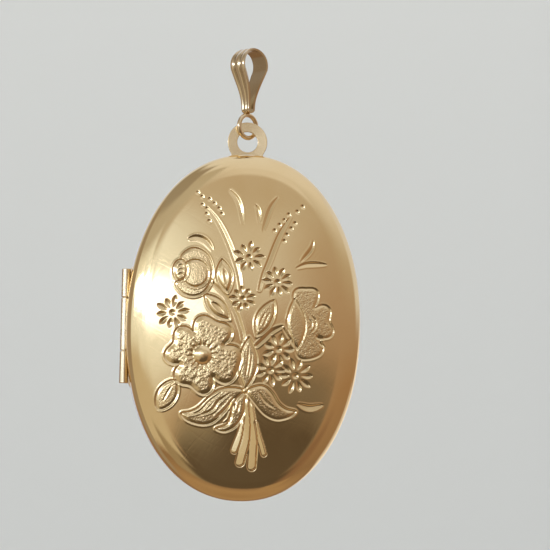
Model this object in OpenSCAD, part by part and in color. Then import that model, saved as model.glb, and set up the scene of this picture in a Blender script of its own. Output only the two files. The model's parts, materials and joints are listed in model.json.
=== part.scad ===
// Gold oval hinged locket, hanging from a folded, fluted bail.
// Millimetres. +Z is up, -Y is the engraved front, +X is the side away from the hinge.
// The origin is the middle of the space in the bail that the chain runs through.

/* [Case] */
// Width of the closed case, across the oval
case_w = 22; // [20:0.5:26]
// Height of the closed case, along the oval
case_h = 32.4; // [29:0.2:38]
// Depth of one half at its centre, from the seam to the top of the dome
half_depth = 2.9; // [2.6:0.1:3.6]
// Thickness of the pressed sheet
sheet_t = 0.35; // [0.3:0.05:0.5]
// Straight height of the side wall, from the seam to the start of the shoulder
wall_h = 0.4; // [0.35:0.05:0.6]
// Radius of the shoulder between the side wall and the dome
shoulder_r = 1.6; // [1.2:0.1:2]
// Gap between the closed halves
seam_gap = 0.04; // [0.02:0.01:0.1]

/* [Closing rims] */
// Thickness of the flush band soldered inside the cover's edge
band_t = 0.3; // [0.2:0.05:0.4]
// How far the inner bands reach in from the seam
band_depth = 1; // [0.9:0.05:1.2]
// How far the lip on the back stands into the cover
lip_h = 0.6; // [0.4:0.05:0.6]
// Thickness of that lip
lip_t = 0.25; // [0.2:0.05:0.35]
// Clearance between the lip and the cover's band, along the oval
lip_gap = 0.05; // [0.04:0.01:0.1]

/* [Hinge] */
// Radius of the hinge tube
knuckle_r = 0.42; // [0.38:0.01:0.5]
// Radius of the hinge pin
pin_r = 0.18; // [0.15:0.01:0.22]
// Clearance between the pin and the cover's knuckle
pin_gap = 0.03; // [0.02:0.01:0.06]
// How far the hinge axis lies outside the widest point of the case
hinge_out = 0.05; // [0.04:0.01:0.1]
// Length of the upper knuckle, on the back
knuckle_upper = 2.65; // [2:0.05:3.5]
// Length of the middle knuckle, on the cover
knuckle_middle = 4.9; // [4:0.1:6]
// Length of the lower knuckle, on the back
knuckle_lower = 3; // [2:0.05:3.5]
// Gap between neighbouring knuckles
knuckle_gap = 0.05; // [0.03:0.01:0.1]
// Thickness of the two flat bearers that fill the wedge between the oval and the tube
bearer_t = 0.3; // [0.2:0.05:0.4]
// How far each bearer runs past the end of the tube, along the case
bearer_past = 0.4; // [0.2:0.1:0.8]

/* [Photo frames] */
// Width of the frames' flat ring
frame_w = 1.3; // [1:0.1:2]
// Thickness of the frames' flat ring
frame_t = 0.3; // [0.2:0.05:0.35]
// Thickness of the clear windows
window_t = 0.2; // [0.1:0.05:0.25]
// Thickness of the blank picture cards
picture_t = 0.25; // [0.15:0.05:0.3]

/* [Top eye] */
// Outer radius of the flat eye on top of the case
eye_r = 1.88; // [1.6:0.02:2.1]
// Radius of the hole in it
eye_hole_r = 0.96; // [0.9:0.02:1]
// Thickness of the eye's plate
eye_t = 0.35; // [0.3:0.05:0.4]
// Height of the eye's centre over the top of the case
eye_up = 1.26; // [1.1:0.02:1.5]
// Half width of the eye's foot where it meets the case
eye_foot = 1.5; // [1.3:0.1:1.7]

/* [Bail] */
// Mean radius of the ring under the bail
ring_r = 1.08; // [1.06:0.01:1.15]
// Radius of the ring's wire
ring_wire_r = 0.22; // [0.18:0.01:0.22]
// Height of the ring's centre over the eye's centre
ring_up = 1.5; // [1.35:0.01:1.5]
// Turn of the bail from edge-on, seen from the front
bail_turn = 54; // [46:1:58]
// Outer radius of the rounded top of the loop
loop_r = 1.6; // [1.4:0.05:1.7]
// Height of the middle of that round over the ring's centre
loop_up = 5.8; // [5:0.1:7]
// Outer radius of the pinched neck at the bottom of the loop
neck_r = 0.45; // [0.42:0.01:0.6]
// Thickness of the folded strip
strip_t = 0.25; // [0.2:0.05:0.35]
// Width of the strip at the top of the loop
strip_w = 1.9; // [1.6:0.05:2.4]
// Width of the strip at the neck
strip_neck_w = 1.0; // [0.9:0.1:1.4]
// Width of each flute along the strip
flute_w = 0.24; // [0.2:0.02:0.3]
// How far the middle of each flute lies from the middle of the strip
flute_x = 0.42; // [0.38:0.02:0.46]
// Depth of each flute
flute_d = 0.08; // [0.05:0.01:0.12]

/* [Hidden] */

$fn = 96;
GOLD = [0.83, 0.66, 0.36];
PALE_GOLD = [0.88, 0.75, 0.48];
DEEP_GOLD = [0.70, 0.52, 0.26];
CLEAR = [0.90, 0.92, 0.92, 0.4];
CARD = [0.94, 0.92, 0.86];

half_w = case_w / 2;
half_h = case_h / 2;
over = 1;                         // how far a cutting solid runs past what it cuts

// Heights down from the chain passage, and the seam just in front of the eye's plate
ring_z = -loop_up;
eye_z = ring_z - ring_up;
case_z = eye_z - eye_up - half_h;
eye_back_off = 0.03;              // from the seam gap to the face of the eye
seam_y = -(seam_gap / 2 + eye_back_off + eye_t / 2);

// The oval inside the sheet
in_w = half_w - sheet_t;
in_h = half_h - sheet_t;
in_r = shoulder_r - sheet_t;

// The hinge, with its knuckles one under another
hinge_x = -(half_w + hinge_out);
hinge_len = knuckle_upper + knuckle_middle + knuckle_lower + 2 * knuckle_gap;
hinge_drop = 0.16;                // the tube's middle lies this far under the case's middle
hinge_top = case_z - hinge_drop + hinge_len / 2;
middle_top = hinge_top - knuckle_upper - knuckle_gap;
lower_top = middle_top - knuckle_middle - knuckle_gap;
turn_gap = 0.06;                  // round a knuckle that turns past the other half
bearer_x = hinge_x + 0.04;        // the bearers stop just short of the hinge axis
bearer_shy = 0.1;                 // a bearer's corner under the tube, short of the tube's end
bearer_from = 4.3;                // over and under the case's middle, where the wedge opens
bearer_taper = 0.24;              // how far across a bearer slopes, past the end of the tube
bearer_root_x = -half_w * 0.8;    // well inside the oval, where the case cuts it off

// The radii of the closing rims, along the oval
lip_out = in_h - band_t - lip_gap;
rim_in = lip_out - lip_t;
ledge = lip_h + 0.08;             // the cover's ledge, just past the end of the lip
band_bend = 0.7;                  // the depth half way up the curve that the bands follow
band_clear = 0.015;               // between a band and the shell's round shoulder

// How far the inside of the shoulder has drawn in at a depth, and the band with it
function drawn_in(depth) = in_r - sqrt(pow(in_r, 2) - pow(depth - wall_h, 2)) + band_clear;

// Photo frames, windows and cards, stacked from the frame into the half
frame_gap = 0.03;
frame_top = band_depth - frame_t;
window_inset = 0.12;
picture_inset = 0.22;
bead_w = 0.35;
bead_t = 0.12;

// The bail's neck, whose round sinks a little into the ring, and the strip's widest part
neck_sink = 0.06;
neck_up = ring_r + ring_wire_r + neck_r - neck_sink;
wide_z = 0.6;                     // the strip is full width this far over and under the middle
top_share = 0.8;                  // its width over the top, as a share of the full width
wire_sides = 32;                  // round the ring's wire

// ---- Shapes that repeat ----

// Section of a cushion dome of radius r: a straight wall, a round shoulder and a shallow cap
module cushion_section(r, depth, shoulder, from) {
    cap_r = (pow(r - shoulder, 2) + pow(depth - wall_h, 2) - pow(shoulder, 2))
        / (2 * (depth - wall_h - shoulder));
    slope = asin((r - shoulder) / (cap_r - shoulder));
    cap_steps = 12;
    shoulder_steps = 14;
    polygon(concat(
        [[0, from]],
        [[r, from]],
        [for (i = [0 : shoulder_steps])
            let (t = i * (90 - slope) / shoulder_steps)
            [r - shoulder + shoulder * cos(t), wall_h + shoulder * sin(t)]],
        [for (i = [1 : cap_steps])
            let (t = slope * (1 - i / cap_steps))
            [cap_r * sin(t), depth - cap_r + cap_r * cos(t)]]
    ));
}

// A section turned about the depth axis and drawn out to an oval, w by h half-sizes
module oval_turn(w, h) {
    scale([w / h, 1, 1]) rotate_extrude() children();
}

module oval_plate(w, h, t) {
    scale([w / h, 1, 1]) cylinder(r = h, h = t);
}

// A solid drawn with its depth along +Z, set in the front or the back half
module in_front() {
    translate([0, seam_y, case_z]) rotate([90, 0, 0]) children();
}

module in_back() {
    translate([0, seam_y, case_z]) rotate([-90, 0, 0]) children();
}

// A pressed half shell, open at the seam
module pressed_shell() {
    difference() {
        oval_turn(half_w, half_h)
            cushion_section(half_h, half_depth, shoulder_r, seam_gap / 2);
        oval_turn(in_w, in_h)
            cushion_section(in_h, half_depth - sheet_t, in_r, -over);
    }
}

// A cylinder on the hinge axis, from its top down
module hinge_rod(r, top, len) {
    translate([hinge_x, seam_y, top - len]) cylinder(r = r, h = len);
}

// The back's two knuckles, or the room round them: grown all round, lengthened by gap where
// they meet the middle one, and run out past the ends of the tube
module back_knuckles(grow = 0, gap = 0, past = 0) {
    hinge_rod(knuckle_r + grow, hinge_top + past, knuckle_upper + past + gap);
    hinge_rod(knuckle_r + grow, lower_top + gap, knuckle_lower + gap + past);
}

// The cover's knuckle, or the room round it
module cover_knuckle(grow = 0, gap = 0) {
    hinge_rod(knuckle_r + grow, middle_top + gap, knuckle_middle + 2 * gap);
}

// Flat plate between the back's oval edge and a knuckle, tapered past the end of the tube.
// end is the height of that end, and way is 1 where the tube ends upwards and -1 downwards.
module hinge_bearer(end, way) {
    start = case_z + way * bearer_from;
    difference() {
        translate([0, seam_y + seam_gap / 2 + bearer_t, 0]) rotate([90, 0, 0])
            linear_extrude(bearer_t) polygon([
                [bearer_x, start],
                [bearer_x, end - way * bearer_shy],
                [hinge_x + knuckle_r, end],
                [hinge_x + knuckle_r + bearer_taper, end + way * bearer_past],
                [bearer_root_x, end + way * bearer_past],
                [bearer_root_x, start]
            ]);
        case_core();
        back_knuckles();
    }
}

module case_core() {
    translate([0, seam_y, case_z]) rotate([90, 0, 0])
        translate([0, 0, -half_depth]) oval_plate(half_w, half_h, 2 * half_depth);
}

module photo_frame() {
    outer_h = rim_in - frame_gap;
    outer_w = in_w - (in_h - outer_h);
    inner_h = outer_h - frame_w;
    inner_w = outer_w - frame_w;
    difference() {
        union() {
            translate([0, 0, frame_top]) oval_plate(outer_w, outer_h, frame_t);
            translate([0, 0, frame_top - bead_t])
                oval_plate(inner_w + bead_w, inner_h + bead_w, bead_t + frame_t / 2);
        }
        translate([0, 0, frame_top - over]) oval_plate(inner_w, inner_h, frame_t + 2 * over);
    }
}

module window() {
    size_h = rim_in - window_inset;
    translate([0, 0, band_depth]) oval_plate(in_w - (in_h - size_h), size_h, window_t);
}

module picture() {
    size_h = rim_in - picture_inset;
    translate([0, 0, band_depth + window_t])
        oval_plate(in_w - (in_h - size_h), size_h, picture_t);
}

// Teardrop of the folded strip, drawn in from its outer face by inset
module teardrop(inset) {
    fall = loop_up - neck_up;
    lean = asin((loop_r - neck_r) / fall);
    top_r = loop_r - inset;
    low_r = neck_r - inset;
    circle(r = top_r);
    translate([0, -fall]) circle(r = low_r);
    polygon([
        [top_r * cos(lean), -top_r * sin(lean)],
        [-top_r * cos(lean), -top_r * sin(lean)],
        [-low_r * cos(lean), -fall - low_r * sin(lean)],
        [low_r * cos(lean), -fall - low_r * sin(lean)]
    ]);
}

// A shape drawn in the loop's own plane, w wide, centred on the strip
module across_strip(w) {
    rotate([90, 0, 90]) translate([0, 0, -w / 2]) linear_extrude(w) children();
}

// Outline of the strip laid flat, wide at the top and narrow at the neck
module strip_outline() {
    wide = strip_w / 2;
    narrow = strip_neck_w / 2;
    polygon([
        [-narrow, -loop_up - over], [narrow, -loop_up - over],
        [narrow, neck_up - neck_r - loop_up], [wide, -wide_z], [wide, wide_z],
        [wide * top_share, loop_r + over], [-wide * top_share, loop_r + over],
        [-wide, wide_z], [-wide, -wide_z], [-narrow, neck_up - neck_r - loop_up]
    ]);
}

module ring_solid() {
    translate([0, 0, ring_z]) rotate([0, 90, 0])
        rotate_extrude() translate([ring_r, 0]) circle(r = ring_wire_r, $fn = wire_sides);
}

// ---- The pieces ----

// Folded fluted strip that the chain runs through
module bail_loop() {
    color(GOLD) rotate([0, 0, -bail_turn]) difference() {
        intersection() {
            across_strip(strip_w) difference() {
                teardrop(0);
                teardrop(strip_t);
            }
            rotate([90, 0, 0]) translate([0, 0, -loop_r - over])
                linear_extrude(2 * (loop_r + over)) strip_outline();
        }
        for (side = [-1, 1])
            translate([side * flute_x, 0, 0]) across_strip(flute_w) difference() {
                teardrop(-over);
                teardrop(flute_d);
            }
        ring_solid();
    }
}

// Ring of round wire under the bail, through the eye
module bail_ring() {
    color(GOLD) rotate([0, 0, -bail_turn]) ring_solid();
}

// Flat eye soldered to the top edge of the back
module top_eye() {
    color(PALE_GOLD) difference() {
        translate([0, eye_t / 2, eye_z]) rotate([90, 0, 0]) linear_extrude(eye_t)
            difference() {
                union() {
                    circle(r = eye_r);
                    translate([-eye_foot, -eye_up - over / 2]) square([2 * eye_foot, eye_up]);
                }
                circle(r = eye_hole_r);
            }
        case_core();
    }
}

// Plain domed back
module back_shell() {
    color(GOLD) difference() {
        in_back() pressed_shell();
        back_knuckles();
        cover_knuckle(turn_gap, knuckle_gap);
    }
}

// Band inside the back's edge, with the lip that snaps into the cover
module back_snap_rim() {
    color(PALE_GOLD) difference() {
        in_back() oval_turn(in_w, in_h) polygon([
            [rim_in, -lip_h], [lip_out, -lip_h], [lip_out, seam_gap / 2], [in_h, seam_gap / 2],
            [in_h, wall_h], [in_h - drawn_in(band_bend), band_bend],
            [in_h - drawn_in(band_depth), band_depth], [rim_in, band_depth]
        ]);
        back_knuckles();
        cover_knuckle(turn_gap, knuckle_gap);
    }
}

module hinge_bearer_upper() {
    color(DEEP_GOLD) hinge_bearer(hinge_top, 1);
}

module hinge_bearer_lower() {
    color(DEEP_GOLD) hinge_bearer(lower_top - knuckle_lower, -1);
}

module hinge_knuckle_upper() {
    color(GOLD) difference() {
        hinge_rod(knuckle_r, hinge_top, knuckle_upper);
        hinge_rod(pin_r, hinge_top + over, knuckle_upper + 2 * over);
    }
}

module hinge_knuckle_lower() {
    color(GOLD) difference() {
        hinge_rod(knuckle_r, lower_top, knuckle_lower);
        hinge_rod(pin_r, lower_top + over, knuckle_lower + 2 * over);
    }
}

module hinge_pin() {
    color(DEEP_GOLD) hinge_rod(pin_r, hinge_top, hinge_len);
}

module photo_frame_back() {
    color(PALE_GOLD) in_back() photo_frame();
}

module window_back() {
    color(CLEAR) in_back() window();
}

module picture_back() {
    color(CARD) in_back() picture();
}

// Domed cover, which carries the engraved bouquet
module front_shell() {
    color(GOLD) difference() {
        in_front() pressed_shell();
        cover_knuckle();
        back_knuckles(turn_gap, knuckle_gap, over);
    }
}

// Band inside the cover's edge, with the ledge that the frame sits on
module front_inner_rim() {
    color(PALE_GOLD) difference() {
        in_front() oval_turn(in_w, in_h) polygon([
            [in_h - band_t, seam_gap / 2], [in_h, seam_gap / 2], [in_h, wall_h],
            [in_h - drawn_in(band_bend), band_bend],
            [in_h - drawn_in(band_depth), band_depth], [rim_in, band_depth],
            [rim_in, ledge], [in_h - band_t, ledge]
        ]);
        cover_knuckle();
        back_knuckles(turn_gap, knuckle_gap, over);
    }
}

module hinge_knuckle_middle() {
    color(GOLD) difference() {
        hinge_rod(knuckle_r, middle_top, knuckle_middle);
        hinge_rod(pin_r + pin_gap, middle_top + over, knuckle_middle + 2 * over);
    }
}

module photo_frame_front() {
    color(PALE_GOLD) in_front() photo_frame();
}

module window_front() {
    color(CLEAR) in_front() window();
}

module picture_front() {
    color(CARD) in_front() picture();
}

bail_loop();
bail_ring();
top_eye();
back_shell();
back_snap_rim();
hinge_bearer_upper();
hinge_bearer_lower();
hinge_knuckle_upper();
hinge_knuckle_lower();
hinge_pin();
photo_frame_back();
window_back();
picture_back();
front_shell();
front_inner_rim();
hinge_knuckle_middle();
photo_frame_front();
window_front();
picture_front();
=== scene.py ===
"""Gold oval locket, engraved with a bouquet, hanging from a fluted bail.

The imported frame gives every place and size. Shapes here are worked out in millimetres, as
height over the seam for the case and as width and height from the case's middle for the
engraving, and are turned into metres when a mesh is made.
"""
import json
import math

import bpy
import numpy as np
from mathutils import Matrix, Vector


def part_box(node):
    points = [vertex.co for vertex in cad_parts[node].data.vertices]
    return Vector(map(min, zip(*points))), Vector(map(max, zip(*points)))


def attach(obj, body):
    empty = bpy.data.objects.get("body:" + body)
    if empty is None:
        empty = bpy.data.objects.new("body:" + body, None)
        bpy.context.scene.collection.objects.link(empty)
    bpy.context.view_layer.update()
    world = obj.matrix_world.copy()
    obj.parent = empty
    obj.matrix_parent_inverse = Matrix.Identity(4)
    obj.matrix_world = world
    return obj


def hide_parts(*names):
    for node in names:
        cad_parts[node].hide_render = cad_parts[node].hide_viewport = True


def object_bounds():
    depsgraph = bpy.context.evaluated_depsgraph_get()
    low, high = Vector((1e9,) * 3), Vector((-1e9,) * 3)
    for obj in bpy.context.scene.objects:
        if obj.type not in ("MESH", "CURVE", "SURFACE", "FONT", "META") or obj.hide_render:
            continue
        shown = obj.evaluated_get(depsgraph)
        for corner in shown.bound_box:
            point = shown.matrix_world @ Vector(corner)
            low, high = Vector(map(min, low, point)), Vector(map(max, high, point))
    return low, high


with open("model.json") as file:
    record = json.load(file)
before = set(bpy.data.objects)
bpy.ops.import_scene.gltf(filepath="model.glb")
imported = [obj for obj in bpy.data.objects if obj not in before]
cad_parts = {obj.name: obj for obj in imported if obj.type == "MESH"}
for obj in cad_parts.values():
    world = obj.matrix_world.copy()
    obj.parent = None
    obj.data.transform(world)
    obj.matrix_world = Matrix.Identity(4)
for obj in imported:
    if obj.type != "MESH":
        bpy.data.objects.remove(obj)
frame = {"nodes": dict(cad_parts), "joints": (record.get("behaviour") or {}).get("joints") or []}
cad_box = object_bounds()

MM = 0.001
TAU = 2 * math.pi


# ---------------------------------------------------------------- sizes from the frame

def box_mm(node):
    """Lowest and highest corner of a CAD node at rest, in millimetres."""
    low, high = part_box(node)
    return np.array(low) / MM, np.array(high) / MM


JOINTS = {joint["name"]: joint for joint in frame["joints"]}
FRONT_LOW, FRONT_HIGH = box_mm("front_shell")
BACK_LOW = box_mm("back_shell")[0]
EYE_LOW, EYE_HIGH = box_mm("top_eye")
RING_LOW, RING_HIGH = box_mm("bail_ring")
LOOP_HIGH = box_mm("bail_loop")[1]
BAND_LOW, BAND_HIGH = box_mm("front_inner_rim")
SNAP_LOW = box_mm("back_snap_rim")[0]

HALF_W = (FRONT_HIGH[0] - FRONT_LOW[0]) / 2
HALF_H = (FRONT_HIGH[2] - FRONT_LOW[2]) / 2
CASE_Z = (FRONT_HIGH[2] + FRONT_LOW[2]) / 2
SEAM_Y = (FRONT_HIGH[1] + BACK_LOW[1]) / 2
SEAM_GAP = (BACK_LOW[1] - FRONT_HIGH[1]) / 2
HALF_DEPTH = SEAM_Y - FRONT_LOW[1]
SHEET_T = (FRONT_HIGH[2] - FRONT_LOW[2] - BAND_HIGH[2] + BAND_LOW[2]) / 2

# The cushion: a straight wall, a round shoulder and a shallow cap
WALL_H = 0.4
SHOULDER_W = 2.2
SHOULDER_POWER = 2.35      # eases the shoulder into the cap
CAP_RISE = 0.9
SHOULDER_H = HALF_DEPTH - WALL_H - CAP_RISE
OVAL_POWER = 2.12          # a little fuller than an ellipse


# ---------------------------------------------------------------- small helpers

def smooth_step(x, low, high):
    t = np.clip((x - low) / (high - low), 0.0, 1.0)
    return t * t * (3 - 2 * t)


def add_piece(name, points, faces, material, body, cad_node, sharp_deg):
    """A mesh piece from points in millimetres, in place of a CAD node on a body.

    It is shaded smooth, but for edges that turn by more than sharp_deg.
    """
    mesh = bpy.data.meshes.new(name)
    mesh.from_pydata((np.asarray(points, dtype=float) * MM).tolist(), [], faces)
    mesh.validate()
    mesh.polygons.foreach_set("use_smooth", [True] * len(mesh.polygons))
    mesh.materials.append(material)
    mesh.set_sharp_from_angle(angle=math.radians(sharp_deg))
    piece = bpy.data.objects.new(name, mesh)
    bpy.context.scene.collection.objects.link(piece)
    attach(piece, body)
    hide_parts(cad_node)
    return piece


def mark_points(piece, label, shares):
    """A named value on each of a piece's first points, for its material to read."""
    values = np.zeros(len(piece.data.vertices), dtype=np.float32)
    values[:len(shares)] = shares
    piece.data.attributes.new(label, "FLOAT", "POINT").data.foreach_set("value", values)


def skinned(name, rows, material, body, cad_node, sharp_deg, capped=False, flip=False):
    """A piece skinned over rings of points, from the last back to the first unless capped."""
    count, total = len(rows[0]), len(rows)
    faces = []
    for r in range(total - 1 if capped else total):
        here = r * count
        there = (r + 1) % total * count
        for i in range(count):
            j = (i + 1) % count
            quad = (here + i, here + j, there + j, there + i)
            faces.append(quad[::-1] if flip else quad)
    if capped:
        faces.append(tuple(range(count))[::-1])
        faces.append(tuple(range((total - 1) * count, total * count)))
    return add_piece(name, np.concatenate(rows), faces, material, body, cad_node, sharp_deg)


def case_points(x, height, z, side):
    """Points from the case's own measures. side is -1 in the front half, 1 in the back."""
    return np.stack([x, SEAM_Y + side * height, CASE_Z + z], axis=1)


def oval_reach(c, s):
    """How far out the outline lies in a direction, with its half width and height as 1."""
    return (np.abs(c) ** OVAL_POWER + np.abs(s) ** OVAL_POWER) ** (-1 / OVAL_POWER)


def oval_ring(inset, count):
    """Points round the case's outline, drawn in by inset."""
    t = np.arange(count) * TAU / count
    c, s = np.cos(t), np.sin(t)
    k = oval_reach(c, s)
    return (HALF_W - inset) * k * c, (HALF_H - inset) * k * s


# ---------------------------------------------------------------- materials

def new_material(name):
    """A node-based material, named after the record's material slot that it finishes."""
    mat = bpy.data.materials.new(name)
    mat["slot"] = name
    mat.use_nodes = True
    tree = mat.node_tree
    shader = tree.nodes["Principled BSDF"]
    return mat, tree, shader


def node(tree, kind, **values):
    made = tree.nodes.new(kind)
    for key, value in values.items():
        setattr(made, key, value)
    return made


def place(tree):
    """Where a point lies on its object, in metres."""
    return node(tree, "ShaderNodeTexCoord").outputs["Object"]


def noise(tree, scale, detail=3, rough=0.5, stretch=(1, 1, 1), turn=(0, 0, 0)):
    mapping = node(tree, "ShaderNodeMapping", vector_type="TEXTURE")
    mapping.inputs["Scale"].default_value = [1 / v for v in stretch]
    mapping.inputs["Rotation"].default_value = turn
    tree.links.new(place(tree), mapping.inputs["Vector"])
    tex = node(tree, "ShaderNodeTexNoise")
    tex.inputs["Scale"].default_value = scale
    tex.inputs["Detail"].default_value = detail
    tex.inputs["Roughness"].default_value = rough
    tree.links.new(mapping.outputs["Vector"], tex.inputs["Vector"])
    return tex.outputs["Fac"]


def ramp(tree, value, stops):
    made = node(tree, "ShaderNodeValToRGB")
    elements = made.color_ramp.elements
    while len(elements) > 1:
        elements.remove(elements[-1])
    for i, (at, colour) in enumerate(stops):
        item = elements[0] if i == 0 else elements.new(at)
        item.position = at
        item.color = (*colour, 1.0)
    tree.links.new(value, made.inputs["Fac"])
    return made.outputs["Color"]


def maths(tree, kind, a, b=None, c=None):
    made = node(tree, "ShaderNodeMath", operation=kind)
    for i, v in enumerate((a, b, c)):
        if v is None:
            continue
        if isinstance(v, (int, float)):
            made.inputs[i].default_value = v
        else:
            tree.links.new(v, made.inputs[i])
    return made.outputs[0]


def mixed(tree, amount, under, over):
    """A plain colour laid over another colour, as much as amount says."""
    mix = node(tree, "ShaderNodeMix", data_type="RGBA")
    tree.links.new(amount, mix.inputs["Factor"])
    tree.links.new(under, mix.inputs["A"])
    mix.inputs["B"].default_value = (*over, 1.0)
    return mix.outputs["Result"]


def add_bump(tree, shader, height, distance, strength=1.0, invert=False):
    """Lets a shader show a height of 1 as distance, in millimetres."""
    bump = node(tree, "ShaderNodeBump", invert=invert)
    bump.inputs["Strength"].default_value = strength
    bump.inputs["Distance"].default_value = distance * MM
    tree.links.new(height, bump.inputs["Height"])
    tree.links.new(bump.outputs["Normal"], shader.inputs["Normal"])


def grey(v):
    return (v, v, v)


def spread(tree, value, zero_at, one_at):
    """Rises smoothly from 0 to 1 as a value goes from zero_at to one_at, either way round."""
    made = node(tree, "ShaderNodeMapRange", interpolation_type="SMOOTHSTEP")
    made.inputs["From Min"].default_value = zero_at
    made.inputs["From Max"].default_value = one_at
    tree.links.new(value, made.inputs["Value"])
    return made.outputs["Result"]


def hairlines(tree, turn, drawn_out):
    """Long thin scratches, as the level lines of a drawn-out noise."""
    field = noise(tree, 110, detail=2, stretch=(1, 1, drawn_out), turn=(0, turn, 0))
    away = maths(tree, "ABSOLUTE", maths(tree, "SUBTRACT", field, 0.5))
    return spread(tree, away, HAIRLINE_W, 0.0)


def pits(tree, scale, size):
    """Scattered small knocks."""
    tex = node(tree, "ShaderNodeTexVoronoi")
    tex.inputs["Scale"].default_value = scale
    tree.links.new(place(tree), tex.inputs["Vector"])
    return spread(tree, tex.outputs["Distance"], size, 0.0)


# Wear on the gold, and the painted shade in its cuts. Depths are in hairlines, each one unit deep.
MARK_DEPTH = 0.0006         # millimetres, of one unit
HAIRLINE_W = 0.02           # as a share of the noise that they follow
SCRATCHES = ((0.5, 9), (-0.9, 12), (1.9, 7))        # way in radians, and how drawn out
KNOCK_DEPTH = 2.0
WAVE_DEPTH = 4.0
GRAIN_DEPTH = 5.0
PUNCH_DEPTH = 28.0          # of the punched ground's dots
PUNCH_MATT = 0.16           # how much rougher that ground is
PAINTED_CUT_SHADE = 0.6           # of the deeper tint: painted shade that darkens a cut


def gold(name, light, deep, rough=(0.14, 0.24), wear=1.0, brushed=None, darkening=0.0,
         punched=False):
    """Worn polished gold: its tint and gloss vary slowly, under hairlines and small knocks.

    rough is the range of its roughness, and brushed the stretch of a filed grain. stain is
    how far what is cut in is darkened with painted shade, where the mesh says how deep that is.
    Where the mesh says that the ground is punched, it is rougher and has fine dots.
    """
    mat, tree, shader = new_material(name)
    shader.inputs["Metallic"].default_value = 1.0
    cloud = noise(tree, 220, detail=4)
    tint = ramp(tree, cloud, [(0.3, deep), (0.7, light)])
    # Painted shade: what is cut in is darkened towards the deeper tint, by how deep the mesh says
    # it is
    if darkening:
        cut = node(tree, "ShaderNodeAttribute", attribute_name="cut").outputs["Fac"]
        tint = mixed(tree, maths(tree, "MULTIPLY", cut, darkening), tint,
                     [PAINTED_CUT_SHADE * c for c in deep])
    tree.links.new(tint, shader.inputs["Base Color"])

    smudge = noise(tree, 420, detail=6, rough=0.7)
    roughness = ramp(tree, smudge, [(0.35, grey(rough[0])), (0.7, grey(rough[1]))])
    if punched:
        ground = node(tree, "ShaderNodeAttribute", attribute_name="punch").outputs["Fac"]
        roughness = maths(tree, "MULTIPLY_ADD", ground, PUNCH_MATT, roughness)
    tree.links.new(roughness, shader.inputs["Roughness"])

    layers = [(pits(tree, 700, 0.16), KNOCK_DEPTH),
              (noise(tree, 420, detail=2), -WAVE_DEPTH)]
    layers += [(hairlines(tree, turn, drawn_out), 1.0) for turn, drawn_out in SCRATCHES]
    if punched:
        dots = maths(tree, "MULTIPLY", pits(tree, 6200, 0.62), ground)
        layers.append((dots, PUNCH_DEPTH))
    if brushed is not None:
        layers.append((noise(tree, 1500, stretch=brushed), GRAIN_DEPTH))
    marks = 0.0
    for mark, depth in layers:
        marks = maths(tree, "MULTIPLY_ADD", mark, depth, marks)
    add_bump(tree, shader, marks, MARK_DEPTH * wear, invert=True)
    return mat


GOLD_LIGHT = (0.95, 0.75, 0.41)
GOLD_DEEP = (0.92, 0.70, 0.36)

# The engraving's cuts are darkened with painted shade
gold_engraved = gold("gold_engraved", GOLD_LIGHT, GOLD_DEEP, (0.065, 0.12), wear=0.7,
                     darkening=0.35, punched=True)
gold_polished = gold("gold_polished", GOLD_LIGHT, GOLD_DEEP, (0.16, 0.23))
# The bail's flutes and the inside of its loop are darkened with painted shade
gold_bail = gold("gold_bail", (0.90, 0.74, 0.46), (0.76, 0.58, 0.34), (0.13, 0.22), darkening=0.75)
gold_brushed = gold("gold_brushed", (0.90, 0.73, 0.44), (0.74, 0.58, 0.33), (0.20, 0.28),
                    brushed=(1, 1, 8))
gold_hinge = gold("gold_hinge", (0.88, 0.74, 0.50), (0.76, 0.60, 0.37), (0.2, 0.32),
                  brushed=(6, 6, 1))
gold_inner = gold("gold_inner", (0.94, 0.75, 0.45), (0.90, 0.68, 0.37), (0.17, 0.26), wear=0.6)


def clear_sheet():
    """Thin clear plastic: mostly seen through, with a faint veil and a gloss."""
    mat, tree, shader = new_material("clear_window")
    shader.inputs["Base Color"].default_value = (0.93, 0.94, 0.92, 1)
    shader.inputs["Alpha"].default_value = 0.25
    shader.inputs["IOR"].default_value = 1.8
    haze = noise(tree, 300, detail=5)
    tree.links.new(ramp(tree, haze, [(0.4, grey(0.03)), (0.8, grey(0.12))]),
                   shader.inputs["Roughness"])
    return mat


def blank_card():
    """Cream card, a little stained, with a fine fibre."""
    mat, tree, shader = new_material("blank_card")
    fibre = noise(tree, 1800, detail=6, rough=0.7)
    darkening = noise(tree, 90)
    tone = ramp(tree, darkening, [(0.3, (0.82, 0.75, 0.63)), (0.7, (0.89, 0.84, 0.74))])
    tree.links.new(tone, shader.inputs["Base Color"])
    shader.inputs["Roughness"].default_value = 0.85
    add_bump(tree, shader, fibre, 0.04, strength=0.4)
    return mat


clear_window = clear_sheet()
card = blank_card()


# ---------------------------------------------------------------- the cushion surface

def oval_measure(x, z, half_w=HALF_W, half_h=HALF_H):
    """How far out a point is, from 0 at the middle to 1 on the outline, and its distance in."""
    n = OVAL_POWER
    a, b = np.abs(x / half_w), np.abs(z / half_h)
    f = np.maximum((a ** n + b ** n) ** (1 / n), 1e-6)
    slope = f ** (1 - n) * np.hypot(a ** (n - 1) / half_w, b ** (n - 1) / half_h)
    return f, (1 - f) / np.maximum(slope, 1e-6)


def cushion_height(x, z):
    """Height of the outer face over the seam plane."""
    f, inside = oval_measure(x, z)
    across = np.clip(inside / SHOULDER_W, 0.0, 1.0)
    n = SHOULDER_POWER
    shoulder = SHOULDER_H * np.clip(1 - (1 - across) ** n, 0.0, 1.0) ** (1 / n)
    return WALL_H + shoulder + CAP_RISE * (1 - f ** 2)


SHOULDER_CELLS = 16


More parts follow.
